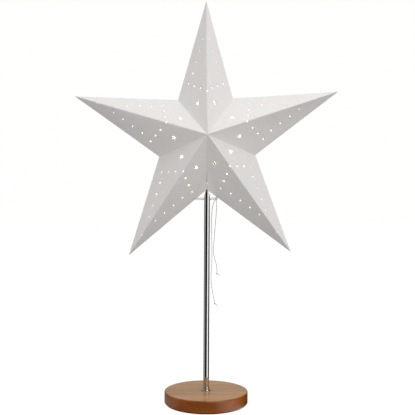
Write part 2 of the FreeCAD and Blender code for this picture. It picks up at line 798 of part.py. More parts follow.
def arm_shape(arm):
    """The folded card arm: four punched leaves, and where the pole comes in the leaves beside
    the bottom valley are bent outwards to make room for it."""
    tip = POINTS[arm]
    leaves = []
    for side in (arm - 1, arm):
        valley = VALLEYS[side]
        at_pole = side == BOTTOM_VALLEY
        for face in (-1, 1):
            middle = STAR_CENTRE + Vector(0, face * float(size.half_depth), 0)
            shrink = 1 - float(size.card_thickness) / plane_distance([tip, valley, middle])
            slide = PUNCH_SLIDES[arm]
            panel = Panel(tip, valley, middle, slide)
            outlines = [[tip, valley, middle]]
            if at_pole:
                bend = valley + (tip - valley).normalize() * float(size.gap_length)
                seam_end = valley + (middle - valley).normalize() * float(size.seam_length)
                shift = float(size.seam_gap) * (1 if tip.x > 0 else -1)
                half_opening = float(size.pole_radius + size.pole_clearance)
                opened = valley + Vector(shift, face * half_opening, 0)
                outlines = [[tip, bend, seam_end, middle], [bend, opened, seam_end]]
            punches = panel_punches(panel) + ridge_punches(tip, middle, slide)
            if at_pole:
                reach = float(size.half_depth)
                spot = eyelet_spot(arm) - Vector(0, reach, 0)
                punches.append(Part.makeCylinder(float(size.eyelet_radius), 2 * reach, spot,
                                                 Vector(0, 1, 0)))
            for outline in outlines:
                leaves.append(leaf(outline, shrink).cut(punches))
    return Part.makeCompound([solid for piece in leaves for solid in piece.Solids])


def make_star():
    """The five arms, each a node of its own, clockwise from the top one."""
    for arm, name in enumerate(ARM_NAMES):
        shaped(f"star_arm_{name}", arm_shape(arm))


def wire_top(needed):
    """The greatest height at which the top arm is wide enough on both sides of the pole's line."""
    tip = POINTS[0]
    drops = [(needed - side * tip.x) * (tip.z - valley.z) / (side * (valley.x - tip.x))
             for side, valley in ((1, VALLEYS[0]), (-1, VALLEYS[-1]))]
    return tip.z - max(drops)


def make_star_support():
    """The ring that turns on the holder and the wire harp that carries the star."""
    bore = size.holder_radius + size.thread_clearance + size.running_clearance / 2
    keep("support_ring", ring("support_ring", bore, size.holder_radius + size.support_ring_width,
                              support_ring_low, support_ring_high))
    foot = float(size.holder_radius + size.wire_foot_reach)
    foot_height = float(support_ring_high)
    belly = float(size.bulb_radius + size.wire_bulb_gap)
    middle = float(bulb_centre)
    half = float(size.wire_top_half)
    top = wire_top(half + float(size.wire_radius + size.wire_card_gap))
    right_leg = [
        (foot, 0, foot_height),
        (foot, 0, foot_height + float(size.wire_upright)),
        (belly - 2, 0, middle - 16),
        (belly, 0, middle + 15),
        (belly * 0.55, 0, middle + 52),
        (half + 2.2, 0, (middle + top) / 2),
        (half + 0.7, 0, top - 36),
        (half, 0, top),
    ]
    left_leg = [(-x, y, z) for x, y, z in reversed(right_leg)]
    shaped("support_wire", tube_along(right_leg + left_leg, size.wire_radius, "support_wire"))


def knot(name, centre, radius, tail_towards):
    """A pulled-tight round knot with a short tail, turned about the tail's own axis."""
    thin = float(size.tie_radius) * 0.9
    shoulder = math.sqrt(radius ** 2 - thin ** 2)
    end = shoulder + float(size.tail_length)
    rim = [
        Part.Arc(Vector(0, 0, -radius), Vector(radius, 0, 0), Vector(thin, 0, shoulder)).toShape(),
        Part.makePolygon([Vector(thin, 0, shoulder), Vector(thin, 0, end), Vector(0, 0, end),
                          Vector(0, 0, -radius)]),
    ]
    outline = Part.Wire([edge for piece in rim for edge in piece.Edges])
    solid = Part.Solid(Part.Face(outline).revolve(Vector(), Vector(0, 0, 1), 360))
    solid.Placement = Placement(Vector(*centre), Rotation(Vector(0, 0, 1), Vector(*tail_towards)))
    shaped(name, Part.makeCompound([solid]))


# The tie's two loose ends, each as the points that it hangs through, from the knot on.
LONG_END = [
    (-1.1, -1.0, -1.1),
    (-5.3, -2.1, -7.2),
    (-7.4, -2.6, -22.2),
    (-7.9, -2.8, -44.2),
    (-7.0, -2.8, -72.2),
    (-6.5, -2.4, -100.2),
    (-7.8, -2.2, -122.2),
    (-8.3, -2.4, -140.2),
    (-5.8, -2.6, -159.2),
    (-1.6, -2.6, -178.0),
]
SHORT_END = [
    (0.2, -1.2, -1.3),
    (1.0, -3.0, -9.2),
    (0.3, -3.8, -25.2),
    (-1.6, -4.2, -47.2),
    (-3.6, -4.2, -74.2),
    (-4.5, -4.0, -93.2),
    (-1.2, -4.0, -105.2),
    (1.8, -4.2, -115.7),
    (2.1, -4.2, -126.6),
]


def knot_place():
    """The tie is knotted in front of the lower edge of the right arm, beside its eyelet."""
    return eyelet_spot(2) + Vector(-5.0, -1.6, -4.3)


def tie_route():
    """The tie's loop: through the right eyelet, behind the pole, through the left eyelet, under
    the fold and back behind the pole to the knot."""
    right = eyelet_spot(2)
    left = eyelet_spot(3)
    behind = float(size.pole_radius + size.tie_radius + size.tie_slack)
    beside = float(size.pole_radius) + 4.5
    level = (right.z + left.z) / 2
    end = knot_place()
    return [
        (end.x + 0.4, end.y - 1.8, end.z + 1.8),
        (right.x - 0.1, -5.0, right.z - 0.6),
        (right.x, -1.6, right.z + 0.05),
        (right.x, 2.6, right.z),
        (right.x - 1.2, 5.4, right.z - 1.6),
        (beside, behind - 0.2, level - 1.6),
        (0.0, behind + 0.5, level - 2.1),
        (-beside, behind - 0.2, level - 1.6),
        (left.x + 1.2, 5.4, left.z - 1.6),
        (left.x, 2.6, left.z),
        (left.x, -1.6, left.z + 0.05),
        (left.x + 0.2, -5.0, left.z - 1.4),
        (left.x + 1.5, -2.6, left.z - 4.2),
        (-beside - 0.5, behind - 1.0, level - 4.2),
        (0.0, behind + 0.3, level - 4.5),
        (beside - 1.0, behind - 1.2, level - 4.3),
        (end.x - 1.2, end.y + 1.8, end.z - 0.3),
    ]


def make_tie():
    """The cord that ties the star's open seam round the pole, with its knots and two ends."""
    shaped("tie_loop", tube_along(tie_route(), size.tie_radius, "tie_loop"))
    place = knot_place()
    knot("tie_knot", place, float(size.tie_knot_radius), (0.35, -0.5, 1.0))
    radius = float(size.end_knot_radius)
    for name, hang in (("long", LONG_END), ("short", SHORT_END)):
        route = [place + Vector(*step) for step in hang]
        shaped(f"tie_end_{name}", tube_along(route, size.tie_radius, f"tie_end_{name}"))
        x, y, z = route[-1]
        knot(f"end_knot_{name}", (x, y, z - radius * 0.9), radius, (0.8, -0.1, -0.5))


def check_document():
    """Stop if any object of the document failed or a finished shape is broken."""
    for obj in doc.Objects:
        if "Invalid" in obj.State or "Error" in obj.State:
            raise ValueError(f"{obj.Label} failed: {obj.State}")
    for obj in finished:
        if obj.Shape.isNull() or not obj.Shape.isValid() or not obj.Shape.Solids:
            raise ValueError(f"{obj.Label} has no good solid")


make_base()
make_inlet()
make_pole()
make_leads()
make_holder()
make_bulb()
make_star()
make_star_support()
make_tie()
doc.recompute()
check_document()

os.makedirs("parts", exist_ok=True)
for part in finished:
    part.Shape.exportStep(f"parts/{part.Label}.step")
print(len(finished), "sub-parts written")
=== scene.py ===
import math

import bpy
import numpy as np
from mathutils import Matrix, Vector
from mathutils.geometry import delaunay_2d_cdt


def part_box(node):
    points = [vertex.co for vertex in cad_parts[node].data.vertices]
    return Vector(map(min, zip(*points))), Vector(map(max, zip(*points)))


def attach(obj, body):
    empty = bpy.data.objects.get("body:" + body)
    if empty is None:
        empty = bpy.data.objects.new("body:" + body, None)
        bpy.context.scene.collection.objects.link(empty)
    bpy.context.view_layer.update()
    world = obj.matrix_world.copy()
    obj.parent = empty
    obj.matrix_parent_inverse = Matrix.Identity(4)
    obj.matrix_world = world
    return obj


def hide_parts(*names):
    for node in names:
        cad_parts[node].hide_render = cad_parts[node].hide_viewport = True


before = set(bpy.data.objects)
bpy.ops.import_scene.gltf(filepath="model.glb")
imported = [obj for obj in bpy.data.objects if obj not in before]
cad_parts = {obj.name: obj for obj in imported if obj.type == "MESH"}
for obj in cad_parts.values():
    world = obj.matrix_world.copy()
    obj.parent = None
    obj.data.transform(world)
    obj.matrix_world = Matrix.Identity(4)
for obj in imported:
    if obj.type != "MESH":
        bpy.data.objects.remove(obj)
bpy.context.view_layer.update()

# ---------------------------------------------------------------------------------------------
# Camera, table and studio light.
# The lamp stands on a seamless white table. The camera looks level along +Y from a little over
# a metre away, at the height of the lower points of the star.

CAMERA_DISTANCE = 1.088
CAMERA_HEIGHT = 0.302
CAMERA_TILT = math.radians(0.30)

camera_data = bpy.data.cameras.new("camera")
camera_data.sensor_width = 36.0
camera_data.lens = 54.87
camera_data.shift_y = 0.047
camera_data.shift_x = 0.00145
camera_data.clip_start = 0.01
camera = bpy.data.objects.new("camera", camera_data)
camera.location = (0.0, -CAMERA_DISTANCE, CAMERA_HEIGHT)
camera.rotation_euler = (math.radians(90.0), -CAMERA_TILT, 0.0)
bpy.context.scene.collection.objects.link(camera)
bpy.context.scene.camera = camera
bpy.context.scene.view_settings.view_transform = "Standard"


def new_material(name):
    """An empty node material with its output, ready for a shader."""
    material = bpy.data.materials.new(name)
    material.use_nodes = True
    material.node_tree.nodes.clear()
    output = material.node_tree.nodes.new("ShaderNodeOutputMaterial")
    return material, material.node_tree, output


def surroundings_group():
    """What polished metal mirrors, by heading round the lamp. The heading, the arctangent of X
    over minus Y, is 0 degrees on the camera's side and runs to 180 either way round. It picks a
    grey from dark flags, half-lit walls and white softboxes."""
    group = bpy.data.node_groups.new("surroundings", "ShaderNodeTree")
    group.interface.new_socket("Vector", in_out="INPUT", socket_type="NodeSocketVector")
    group.interface.new_socket("Grey", in_out="OUTPUT", socket_type="NodeSocketColor")
    enter = group.nodes.new("NodeGroupInput")
    leave = group.nodes.new("NodeGroupOutput")
    split = group.nodes.new("ShaderNodeSeparateXYZ")
    heading = group.nodes.new("ShaderNodeMath")
    heading.operation = "ARCTAN2"
    behind = group.nodes.new("ShaderNodeMath")
    behind.operation = "MULTIPLY"
    behind.inputs[1].default_value = -1.0
    share = group.nodes.new("ShaderNodeMapRange")
    share.inputs["From Min"].default_value = -math.pi
    share.inputs["From Max"].default_value = math.pi
    ring = group.nodes.new("ShaderNodeValToRGB")
    stops = [(-180, 0.5), (-160, 0.4), (-125, 0.15), (-92, 0.42), (-60, 0.42), (-50, 0.02),
             (-20, 0.0), (16, 0.0), (26, 1.0), (36, 1.6), (56, 1.6), (68, 0.3), (76, 0.0),
             (145, 0.0), (165, 0.4), (180, 0.5)]
    ramp = ring.color_ramp
    while len(ramp.elements) < len(stops):
        ramp.elements.new(1.0)
    for element, (degrees, grey) in zip(ramp.elements, stops):
        element.position = 0.5 + degrees / 360.0
        element.color = (grey, grey, grey, 1.0)
    group.links.new(enter.outputs["Vector"], split.inputs["Vector"])
    group.links.new(split.outputs["Y"], behind.inputs[0])
    group.links.new(split.outputs["X"], heading.inputs[0])
    group.links.new(behind.outputs["Value"], heading.inputs[1])
    group.links.new(heading.outputs["Value"], share.inputs["Value"])
    group.links.new(share.outputs["Result"], ring.inputs["Fac"])
    group.links.new(ring.outputs["Color"], leave.inputs["Grey"])
    return group


surroundings = surroundings_group()


def mirrored_surroundings(tree, coordinate):
    """The surroundings as a colour, picked by a point's or a ray's heading from the lamp."""
    coordinates = tree.nodes.new("ShaderNodeTexCoord")
    node = tree.nodes.new("ShaderNodeGroup")
    node.node_tree = surroundings
    tree.links.new(coordinates.outputs[coordinate], node.inputs["Vector"])
    return node.outputs["Grey"]


def table_material():
    """White sweep: to the eye nearly its own white, with a trace of the lamp's soft shadow. The
    light that it throws back up is a mid grey's, and polished metal sees the same surroundings
    in it as above it."""
    material, tree, output = new_material("white_table")
    seen = tree.nodes.new("ShaderNodeEmission")
    seen.inputs["Color"].default_value = (1.0, 1.0, 0.99, 1.0)
    seen.inputs["Strength"].default_value = 0.93
    lit = tree.nodes.new("ShaderNodeBsdfDiffuse")
    lit.inputs["Color"].default_value = (0.16, 0.16, 0.16, 1.0)
    both = tree.nodes.new("ShaderNodeAddShader")
    bounce = tree.nodes.new("ShaderNodeBsdfDiffuse")
    bounce.inputs["Color"].default_value = (0.42, 0.41, 0.41, 1.0)
    flags = tree.nodes.new("ShaderNodeEmission")
    tree.links.new(mirrored_surroundings(tree, "Object"), flags.inputs["Color"])
    path = tree.nodes.new("ShaderNodeLightPath")
    gloss = tree.nodes.new("ShaderNodeMixShader")
    mix = tree.nodes.new("ShaderNodeMixShader")
    tree.links.new(seen.outputs["Emission"], both.inputs[0])
    tree.links.new(lit.outputs["BSDF"], both.inputs[1])
    tree.links.new(path.outputs["Is Glossy Ray"], gloss.inputs["Fac"])
    tree.links.new(bounce.outputs["BSDF"], gloss.inputs[1])
    tree.links.new(flags.outputs["Emission"], gloss.inputs[2])
    tree.links.new(path.outputs["Is Camera Ray"], mix.inputs["Fac"])
    tree.links.new(gloss.outputs["Shader"], mix.inputs[1])
    tree.links.new(both.outputs["Shader"], mix.inputs[2])
    tree.links.new(mix.outputs["Shader"], output.inputs["Surface"])
    return material


def grid_mesh(name, points, closed_round=False):
    """A mesh from a grid of points, rows by columns. closed_round joins the last column to the
    first, as on anything turned or tubular."""
    rows, columns = points.shape[:2]
    index = np.arange(rows * columns).reshape(rows, columns)
    after = np.roll(index, -1, axis=1)
    if not closed_round:
        index, after = index[:, :-1], after[:, :-1]
    quads = np.stack([index[:-1], after[:-1], after[1:], index[1:]], axis=-1).reshape(-1, 4)
    mesh = bpy.data.meshes.new(name)
    mesh.from_pydata(points.reshape(-1, 3).tolist(), [], quads.tolist())
    mesh.update()
    return mesh


def placed(mesh, material, body=None):
    """Put a finished mesh in the scene with its material, riding on a body."""
    mesh.materials.append(material)
    piece = bpy.data.objects.new(mesh.name, mesh)
    bpy.context.scene.collection.objects.link(piece)
    if body is not None:
        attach(piece, body)
    return piece


TABLE_HALF = 30.0
reach = np.linspace(-TABLE_HALF, TABLE_HALF, 9)
across, along = np.meshgrid(reach, reach)
table_mesh = grid_mesh("table_top", np.stack([across, along, np.zeros_like(across)], axis=-1))
placed(table_mesh, table_material())


def studio_world():
    """White to the eye. To the lamp a soft studio, brighter above than at the sides, except that
    polished metal mirrors the flags and softboxes, which give it its stripes."""
    world = bpy.data.worlds.new("studio")
    bpy.context.scene.world = world
    world.use_nodes = True
    tree = world.node_tree
    tree.nodes.clear()
    output = tree.nodes.new("ShaderNodeOutputWorld")
    coordinates = tree.nodes.new("ShaderNodeTexCoord")
    split = tree.nodes.new("ShaderNodeSeparateXYZ")
    tree.links.new(coordinates.outputs["Generated"], split.inputs["Vector"])
    height = tree.nodes.new("ShaderNodeMapRange")
    height.inputs["From Min"].default_value = -0.2
    height.inputs["From Max"].default_value = 0.9
    height.inputs["To Min"].default_value = 0.45
    height.inputs["To Max"].default_value = 1.05
    tree.links.new(split.outputs["Z"], height.inputs["Value"])
    soft = tree.nodes.new("ShaderNodeBackground")
    soft.inputs["Color"].default_value = (1.0, 0.985, 0.975, 1.0)
    tree.links.new(height.outputs["Result"], soft.inputs["Strength"])
    mirrored = tree.nodes.new("ShaderNodeBackground")
    tree.links.new(mirrored_surroundings(tree, "Generated"), mirrored.inputs["Color"])
    white = tree.nodes.new("ShaderNodeBackground")
    white.inputs["Color"].default_value = (1.0, 1.0, 0.99, 1.0)
    path = tree.nodes.new("ShaderNodeLightPath")
    gloss = tree.nodes.new("ShaderNodeMixShader")
    seen = tree.nodes.new("ShaderNodeMixShader")
    tree.links.new(path.outputs["Is Glossy Ray"], gloss.inputs["Fac"])
    tree.links.new(soft.outputs["Background"], gloss.inputs[1])
    tree.links.new(mirrored.outputs["Background"], gloss.inputs[2])
    tree.links.new(path.outputs["Is Camera Ray"], seen.inputs["Fac"])
    tree.links.new(gloss.outputs["Shader"], seen.inputs[1])
    tree.links.new(white.outputs["Background"], seen.inputs[2])
    tree.links.new(seen.outputs["Shader"], output.inputs["Surface"])


def soft_light(name, place, aim, side, power):
    """A square softbox that looks at a point."""
    data = bpy.data.lights.new(name, "AREA")
    data.size = side
    data.energy = power
    light = bpy.data.objects.new(name, data)
    light.location = place
    light.rotation_euler = (Vector(aim) - Vector(place)).to_track_quat("-Z", "Y").to_euler()
    bpy.context.scene.collection.objects.link(light)


studio_world()
soft_light("key_softbox", (0.9, -1.4, 1.9), (0.0, 0.0, 0.4), 1.2, 14.0)

# ---------------------------------------------------------------------------------------------
# Wooden base.
# A disc turned from solid wood, stained reddish brown and varnished, its rims just broken.
# Underneath it is recessed for the ballast and closed with black felt.

# radii over which the rim's painted shade sets in, making the rim darker and redder than the top
# face
RIM_SHADE_FROM = 0.0695
RIM_SHADE_FULL = 0.0708


def mottle_group():
    """Fine unevenness that most materials share: Tone is a soft patchiness about 0.5 and Height
    a finer grain for bump."""
    group = bpy.data.node_groups.new("fine_unevenness", "ShaderNodeTree")
    group.interface.new_socket("Vector", in_out="INPUT", socket_type="NodeSocketVector")
    group.interface.new_socket("Patch Scale", in_out="INPUT", socket_type="NodeSocketFloat")
    group.interface.new_socket("Grain Scale", in_out="INPUT", socket_type="NodeSocketFloat")
    group.interface.new_socket("Tone", in_out="OUTPUT", socket_type="NodeSocketFloat")
    group.interface.new_socket("Height", in_out="OUTPUT", socket_type="NodeSocketFloat")
    enter = group.nodes.new("NodeGroupInput")
    leave = group.nodes.new("NodeGroupOutput")
    for scale, detail, result in (("Patch Scale", 3.0, "Tone"), ("Grain Scale", 5.0, "Height")):
        noise = group.nodes.new("ShaderNodeTexNoise")
        noise.inputs["Detail"].default_value = detail
        group.links.new(enter.outputs["Vector"], noise.inputs["Vector"])
        group.links.new(enter.outputs[scale], noise.inputs["Scale"])
        group.links.new(noise.outputs["Fac"], leave.inputs[result])
    return group


fine_unevenness = mottle_group()


def uneven(tree, patch_scale, grain_scale, stretch=(1.0, 1.0, 1.0)):
    """Place the shared unevenness group on object coordinates."""
    coordinates = tree.nodes.new("ShaderNodeTexCoord")
    mapping = tree.nodes.new("ShaderNodeMapping")
    mapping.inputs["Scale"].default_value = stretch
    node = tree.nodes.new("ShaderNodeGroup")
    node.node_tree = fine_unevenness
    node.inputs["Patch Scale"].default_value = patch_scale
    node.inputs["Grain Scale"].default_value = grain_scale
    tree.links.new(coordinates.outputs["Object"], mapping.inputs["Vector"])
    tree.links.new(mapping.outputs["Vector"], node.inputs["Vector"])
    return node


def blend_colours(tree, factor, low, high):
    """A colour that runs from low to high as the factor goes from 0 to 1."""
    mix = tree.nodes.new("ShaderNodeMix")
    mix.data_type = "RGBA"
    mix.inputs["A"].default_value = (*low, 1.0)
    mix.inputs["B"].default_value = (*high, 1.0)
    tree.links.new(factor, mix.inputs["Factor"])
    return mix.outputs["Result"]


def ranged(tree, value, low, high, from_low=0.3, from_high=0.7):
    """Spread a value's usual range over low to high."""
    node = tree.nodes.new("ShaderNodeMapRange")
    node.inputs["From Min"].default_value = from_low
    node.inputs["From Max"].default_value = from_high
    node.inputs["To Min"].default_value = low
    node.inputs["To Max"].default_value = high
    tree.links.new(value, node.inputs["Value"])
    return node.outputs["Result"]


def bumped(tree, shader, height, strength, distance):
    """Give a shader a bump from a height."""
    bump = tree.nodes.new("ShaderNodeBump")
    bump.inputs["Strength"].default_value = strength
    bump.inputs["Distance"].default_value = distance
    tree.links.new(height, bump.inputs["Height"])
    tree.links.new(bump.outputs["Normal"], shader.inputs["Normal"])


def simple_finish(name, low, high, roughness, patch=60.0, grain=900.0, bump=0.15, metallic=0.0,
                  stretch=(1.0, 1.0, 1.0)):
    """A finish with a slight patchiness between two colours and two roughnesses, and a fine
    surface grain."""
    material, tree, output = new_material(name)
    shader = tree.nodes.new("ShaderNodeBsdfPrincipled")
    shader.inputs["Metallic"].default_value = metallic
    node = uneven(tree, patch, grain, stretch)
    tree.links.new(blend_colours(tree, ranged(tree, node.outputs["Tone"], 0.0, 1.0), low, high),
                   shader.inputs["Base Color"])
    tree.links.new(ranged(tree, node.outputs["Tone"], *roughness), shader.inputs["Roughness"])
    bumped(tree, shader, node.outputs["Height"], bump, 0.0002)
    tree.links.new(shader.outputs["BSDF"], output.inputs["Surface"])
    return material, shader


def varnished_wood():
    """Straight-grained wood whose year rings run across the disc: broad rings as slightly bent
    bands along X, fine pores stretched along them, under a clear gloss coat. The rim is darker
    and redder than the top face: a painted shade that sets in from the face's edge to the rim."""
    material, tree, output = new_material("varnished_wood")
    shader = tree.nodes.new("ShaderNodeBsdfPrincipled")
    coordinates = tree.nodes.new("ShaderNodeTexCoord")
    rings_map = tree.nodes.new("ShaderNodeMapping")
    rings_map.inputs["Scale"].default_value = (2.2, 34.0, 26.0)
    rings_map.inputs["Rotation"].default_value = (0.12, 0.03, 0.05)
    rings = tree.nodes.new("ShaderNodeTexNoise")
    rings.inputs["Scale"].default_value = 2.0
    rings.inputs["Detail"].default_value = 4.0
    rings.inputs["Distortion"].default_value = 0.6
    pores_map = tree.nodes.new("ShaderNodeMapping")
    pores_map.inputs["Scale"].default_value = (18.0, 420.0, 420.0)
    pores = tree.nodes.new("ShaderNodeTexNoise")
    pores.inputs["Scale"].default_value = 3.0
    pores.inputs["Detail"].default_value = 3.0
    for mapping, noise in ((rings_map, rings), (pores_map, pores)):
        tree.links.new(coordinates.outputs["Object"], mapping.inputs["Vector"])
        tree.links.new(mapping.outputs["Vector"], noise.inputs["Vector"])
    body = blend_colours(tree, ranged(tree, rings.outputs["Fac"], 0.0, 1.0, 0.35, 0.65),
                         (0.32, 0.150, 0.050), (0.46, 0.245, 0.088))
    pore_mask = ranged(tree, pores.outputs["Fac"], 0.0, 0.45, 0.52, 0.72)
    dark = tree.nodes.new("ShaderNodeMix")
    dark.data_type = "RGBA"
    dark.inputs["B"].default_value = (0.12, 0.035, 0.010, 1.0)
    tree.links.new(pore_mask, dark.inputs["Factor"])
    tree.links.new(body, dark.inputs["A"])
    level = tree.nodes.new("ShaderNodeVectorMath")
    level.operation = "MULTIPLY"
    level.inputs[1].default_value = (1.0, 1.0, 0.0)
    reach = tree.nodes.new("ShaderNodeVectorMath")
    reach.operation = "LENGTH"
    tree.links.new(coordinates.outputs["Object"], level.inputs[0])
    tree.links.new(level.outputs["Vector"], reach.inputs[0])
    # painted shade: the rim is multiplied darker and redder than the top face, from the face's edge
    # outward
    rim_shaded = tree.nodes.new("ShaderNodeMix")
    rim_shaded.data_type = "RGBA"
    rim_shaded.blend_type = "MULTIPLY"
    tree.links.new(dark.outputs["Result"], rim_shaded.inputs["A"])
    rim_shaded.inputs["B"].default_value = (0.74, 0.38, 0.09, 1.0)
    tree.links.new(ranged(tree, reach.outputs["Value"], 0.0, 1.0, RIM_SHADE_FROM, RIM_SHADE_FULL),
                   rim_shaded.inputs["Factor"])
    tree.links.new(rim_shaded.outputs["Result"], shader.inputs["Base Color"])
    tree.links.new(ranged(tree, rings.outputs["Fac"], 0.38, 0.5), shader.inputs["Roughness"])
    shader.inputs["Specular IOR Level"].default_value = 0.3
    shader.inputs["Coat Weight"].default_value = 0.4
    shader.inputs["Coat Roughness"].default_value = 0.16
    shader.inputs["Coat IOR"].default_value = 1.5
    bumped(tree, shader, pores.outputs["Fac"], 0.12, 0.0003)
    tree.links.new(shader.outputs["BSDF"], output.inputs["Surface"])
    return material


def finish_node(node, material):
    """Give a CAD node its material."""
    piece = bpy.data.objects[node]
    for slot in piece.material_slots:
        slot.material = material


finish_node("wooden_base", varnished_wood())
black_felt, felt_shader = simple_finish("black_felt", (0.018, 0.018, 0.019), (0.045, 0.044, 0.043),
                                        (0.9, 1.0), 400.0, 2500.0, 0.8)
felt_shader.inputs["Sheen Weight"].default_value = 0.4
finish_node("base_pad", black_felt)
zinc_steel, _ = simple_finish("zinc_steel", (0.42, 0.42, 0.41), (0.58, 0.58, 0.56), (0.28, 0.42),
                              80.0, 1200.0, 0.1, 1.0)
for node in ("base_ballast", "ballast_screws", "clamp_screws", "pole_washer", "pole_nut",
             "holder_grub_screw"):
    finish_node(node, zinc_steel)

# ---------------------------------------------------------------------------------------------
# Inlet parts: bush, clamp and terminal block.
# Moulded parts let into the wood at the back, ready for a lamp cord.

black_plastic, _ = simple_finish("black_plastic", (0.012, 0.012, 0.012), (0.022, 0.021, 0.020),
                                 (0.32, 0.45), 90.0, 1800.0, 0.12)
white_plastic, _ = simple_finish("white_plastic", (0.70, 0.69, 0.66), (0.78, 0.77, 0.75),
                                 (0.25, 0.38), 90.0, 1500.0, 0.08)
bare_brass, _ = simple_finish("bare_brass", (0.58, 0.40, 0.16), (0.75, 0.55, 0.27), (0.22, 0.38),
                              120.0, 1500.0, 0.08, 1.0)
brown_sleeving, _ = simple_finish("brown_sleeving", (0.12, 0.045, 0.02), (0.16, 0.06, 0.03),
                                  (0.35, 0.5), 200.0, 1800.0)
blue_sleeving, _ = simple_finish("blue_sleeving", (0.02, 0.07, 0.28), (0.03, 0.10, 0.36),
                                 (0.35, 0.5), 200.0, 1800.0)
for node in ("cord_bush", "cord_clamp", "holder_cap", "holder_sleeve", "lower_shade_ring",
             "upper_shade_ring"):
    finish_node(node, black_plastic)
finish_node("terminal_block", white_plastic)
for node in ("terminal_screws", "holder_terminals", "centre_contact", "screw_shell"):
    finish_node(node, bare_brass)
finish_node("lead_live", brown_sleeving)
finish_node("lead_neutral", blue_sleeving)

# ---------------------------------------------------------------------------------------------
# Pole and collar.
# A thin steel tube, polished and chromed, threaded at both ends, with a flanged collar that
# hides the hole in the wood.

TURNED_SHARP = math.radians(35.0)


def turned_piece(name, profile, material, body, segments=96):
    """A profile of (radius, height) pairs carried round the Z axis."""
    radius, height = np.array(profile, dtype=float).T
    turn = np.linspace(0.0, 2.0 * math.pi, segments, endpoint=False)
    points = np.stack([radius[:, None] * np.cos(turn), radius[:, None] * np.sin(turn),
                       np.repeat(height[:, None], segments, axis=1)], axis=-1)
    mesh = grid_mesh(name, points, closed_round=True)
    mesh.shade_smooth()
    mesh.set_sharp_from_angle(angle=TURNED_SHARP)
    return placed(mesh, material, body)


def rounded_profile(corners, rounding, steps=5):
    """A closed profile whose corners are rounded by short quadratic curves: start times (1-t)
    squared, corner times 2t(1-t), end times t squared. Start and end lie as far along the two
    sides as the rounding, or less on a short side."""
    spots = np.array(corners, dtype=float)
    before = np.roll(spots, 1, axis=0) - spots
    after = np.roll(spots, -1, axis=0) - spots
    lengths = [np.linalg.norm(side, axis=1, keepdims=True) for side in (before, after)]
    reach = np.minimum(rounding, 0.45 * np.minimum(*lengths))
    start = spots + before / lengths[0] * reach
    end = spots + after / lengths[1] * reach
    t = np.linspace(0.0, 1.0, steps)[None, :, None]
    curve = (1 - t) ** 2 * start[:, None] + 2 * t * (1 - t) * spots[:, None] + t ** 2 * end[:, None]
    outline = curve.reshape(-1, 2)
    return np.vstack([outline, outline[:1]])


# chrome plate: a slightly bluish mirror with the faintest polishing lines round it
chrome, _ = simple_finish("chrome_plate", (0.60, 0.61, 0.62), (0.68, 0.68, 0.69), (0.06, 0.11),
                          40.0, 500.0, 0.02, 1.0, (1.0, 1.0, 6.0))
pole_low, pole_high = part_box("pole")
POLE_WALL = 0.001
POLE_ROUNDING = 0.0003
pole_radius = (pole_high[0] - pole_low[0]) / 2
pole_bore = pole_radius - POLE_WALL
pole = turned_piece("pole_tube", rounded_profile([
    (pole_radius, pole_low[2]), (pole_radius, pole_high[2]),
    (pole_bore, pole_high[2]), (pole_bore, pole_low[2])], POLE_ROUNDING), chrome, "stand")
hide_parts("pole")

collar_low, collar_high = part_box("pole_collar")
FLANGE_HEIGHT = 0.0015
SLEEVE_RADIUS = 0.0061
COLLAR_FIT = 0.00005
COLLAR_ROUNDING = 0.0005
flange_radius = (collar_high[0] - collar_low[0]) / 2
collar_bore = pole_radius + COLLAR_FIT
collar = turned_piece("foot_collar", rounded_profile([
    (flange_radius, collar_low[2]), (flange_radius, collar_low[2] + FLANGE_HEIGHT),
    (SLEEVE_RADIUS, collar_low[2] + FLANGE_HEIGHT), (SLEEVE_RADIUS, collar_high[2]),
    (collar_bore, collar_high[2]), (collar_bore, collar_low[2])], COLLAR_ROUNDING),
    chrome, "stand")
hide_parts("pole_collar")

# ---------------------------------------------------------------------------------------------
# Bulb and holder.
# A glazed porcelain core in a moulded sleeve takes a small round clear bulb with a filament. The
# bulb is lit, so a warm light stands in its middle.

porcelain, _ = simple_finish("glazed_porcelain", (0.72, 0.70, 0.65), (0.80, 0.79, 0.75),
                             (0.12, 0.22), 60.0, 700.0, 0.05)
finish_node("holder_core", porcelain)
for node, material in (("bulb_cap", bare_brass), ("bulb_insulator", black_plastic),
                       ("bulb_tip", zinc_steel), ("filament_supports", zinc_steel)):
    finish_node(node, material)


def clear_glass(name, tint):
    """Thin clear glass: see-through, and a mirror by the Fresnel share at grazing angles."""
    material, tree, output = new_material(name)
    through = tree.nodes.new("ShaderNodeBsdfTransparent")
    through.inputs["Color"].default_value = (*tint, 1.0)
    gloss = tree.nodes.new("ShaderNodeBsdfGlossy")
    gloss.inputs["Roughness"].default_value = 0.03
    edge = tree.nodes.new("ShaderNodeFresnel")
    edge.inputs["IOR"].default_value = 1.45
    mix = tree.nodes.new("ShaderNodeMixShader")
    tree.links.new(edge.outputs["Fac"], mix.inputs["Fac"])
    tree.links.new(through.outputs["BSDF"], mix.inputs[1])
    tree.links.new(gloss.outputs["BSDF"], mix.inputs[2])
    tree.links.new(mix.outputs["Shader"], output.inputs["Surface"])
    return material


def glowing_filament():
    """Tungsten at a dull evening heat."""
    material, tree, output = new_material("glowing_filament")
    glow = tree.nodes.new("ShaderNodeEmission")
    glow.inputs["Color"].default_value = (1.0, 0.62, 0.28, 1.0)
    glow.inputs["Strength"].default_value = 60.0
    tree.links.new(glow.outputs["Emission"], output.inputs["Surface"])
    return material


finish_node("bulb_glass", clear_glass("bulb_glass", (0.99, 0.99, 0.99)))
finish_node("bulb_stem", clear_glass("stem_glass", (0.93, 0.95, 0.95)))
finish_node("filament", glowing_filament())

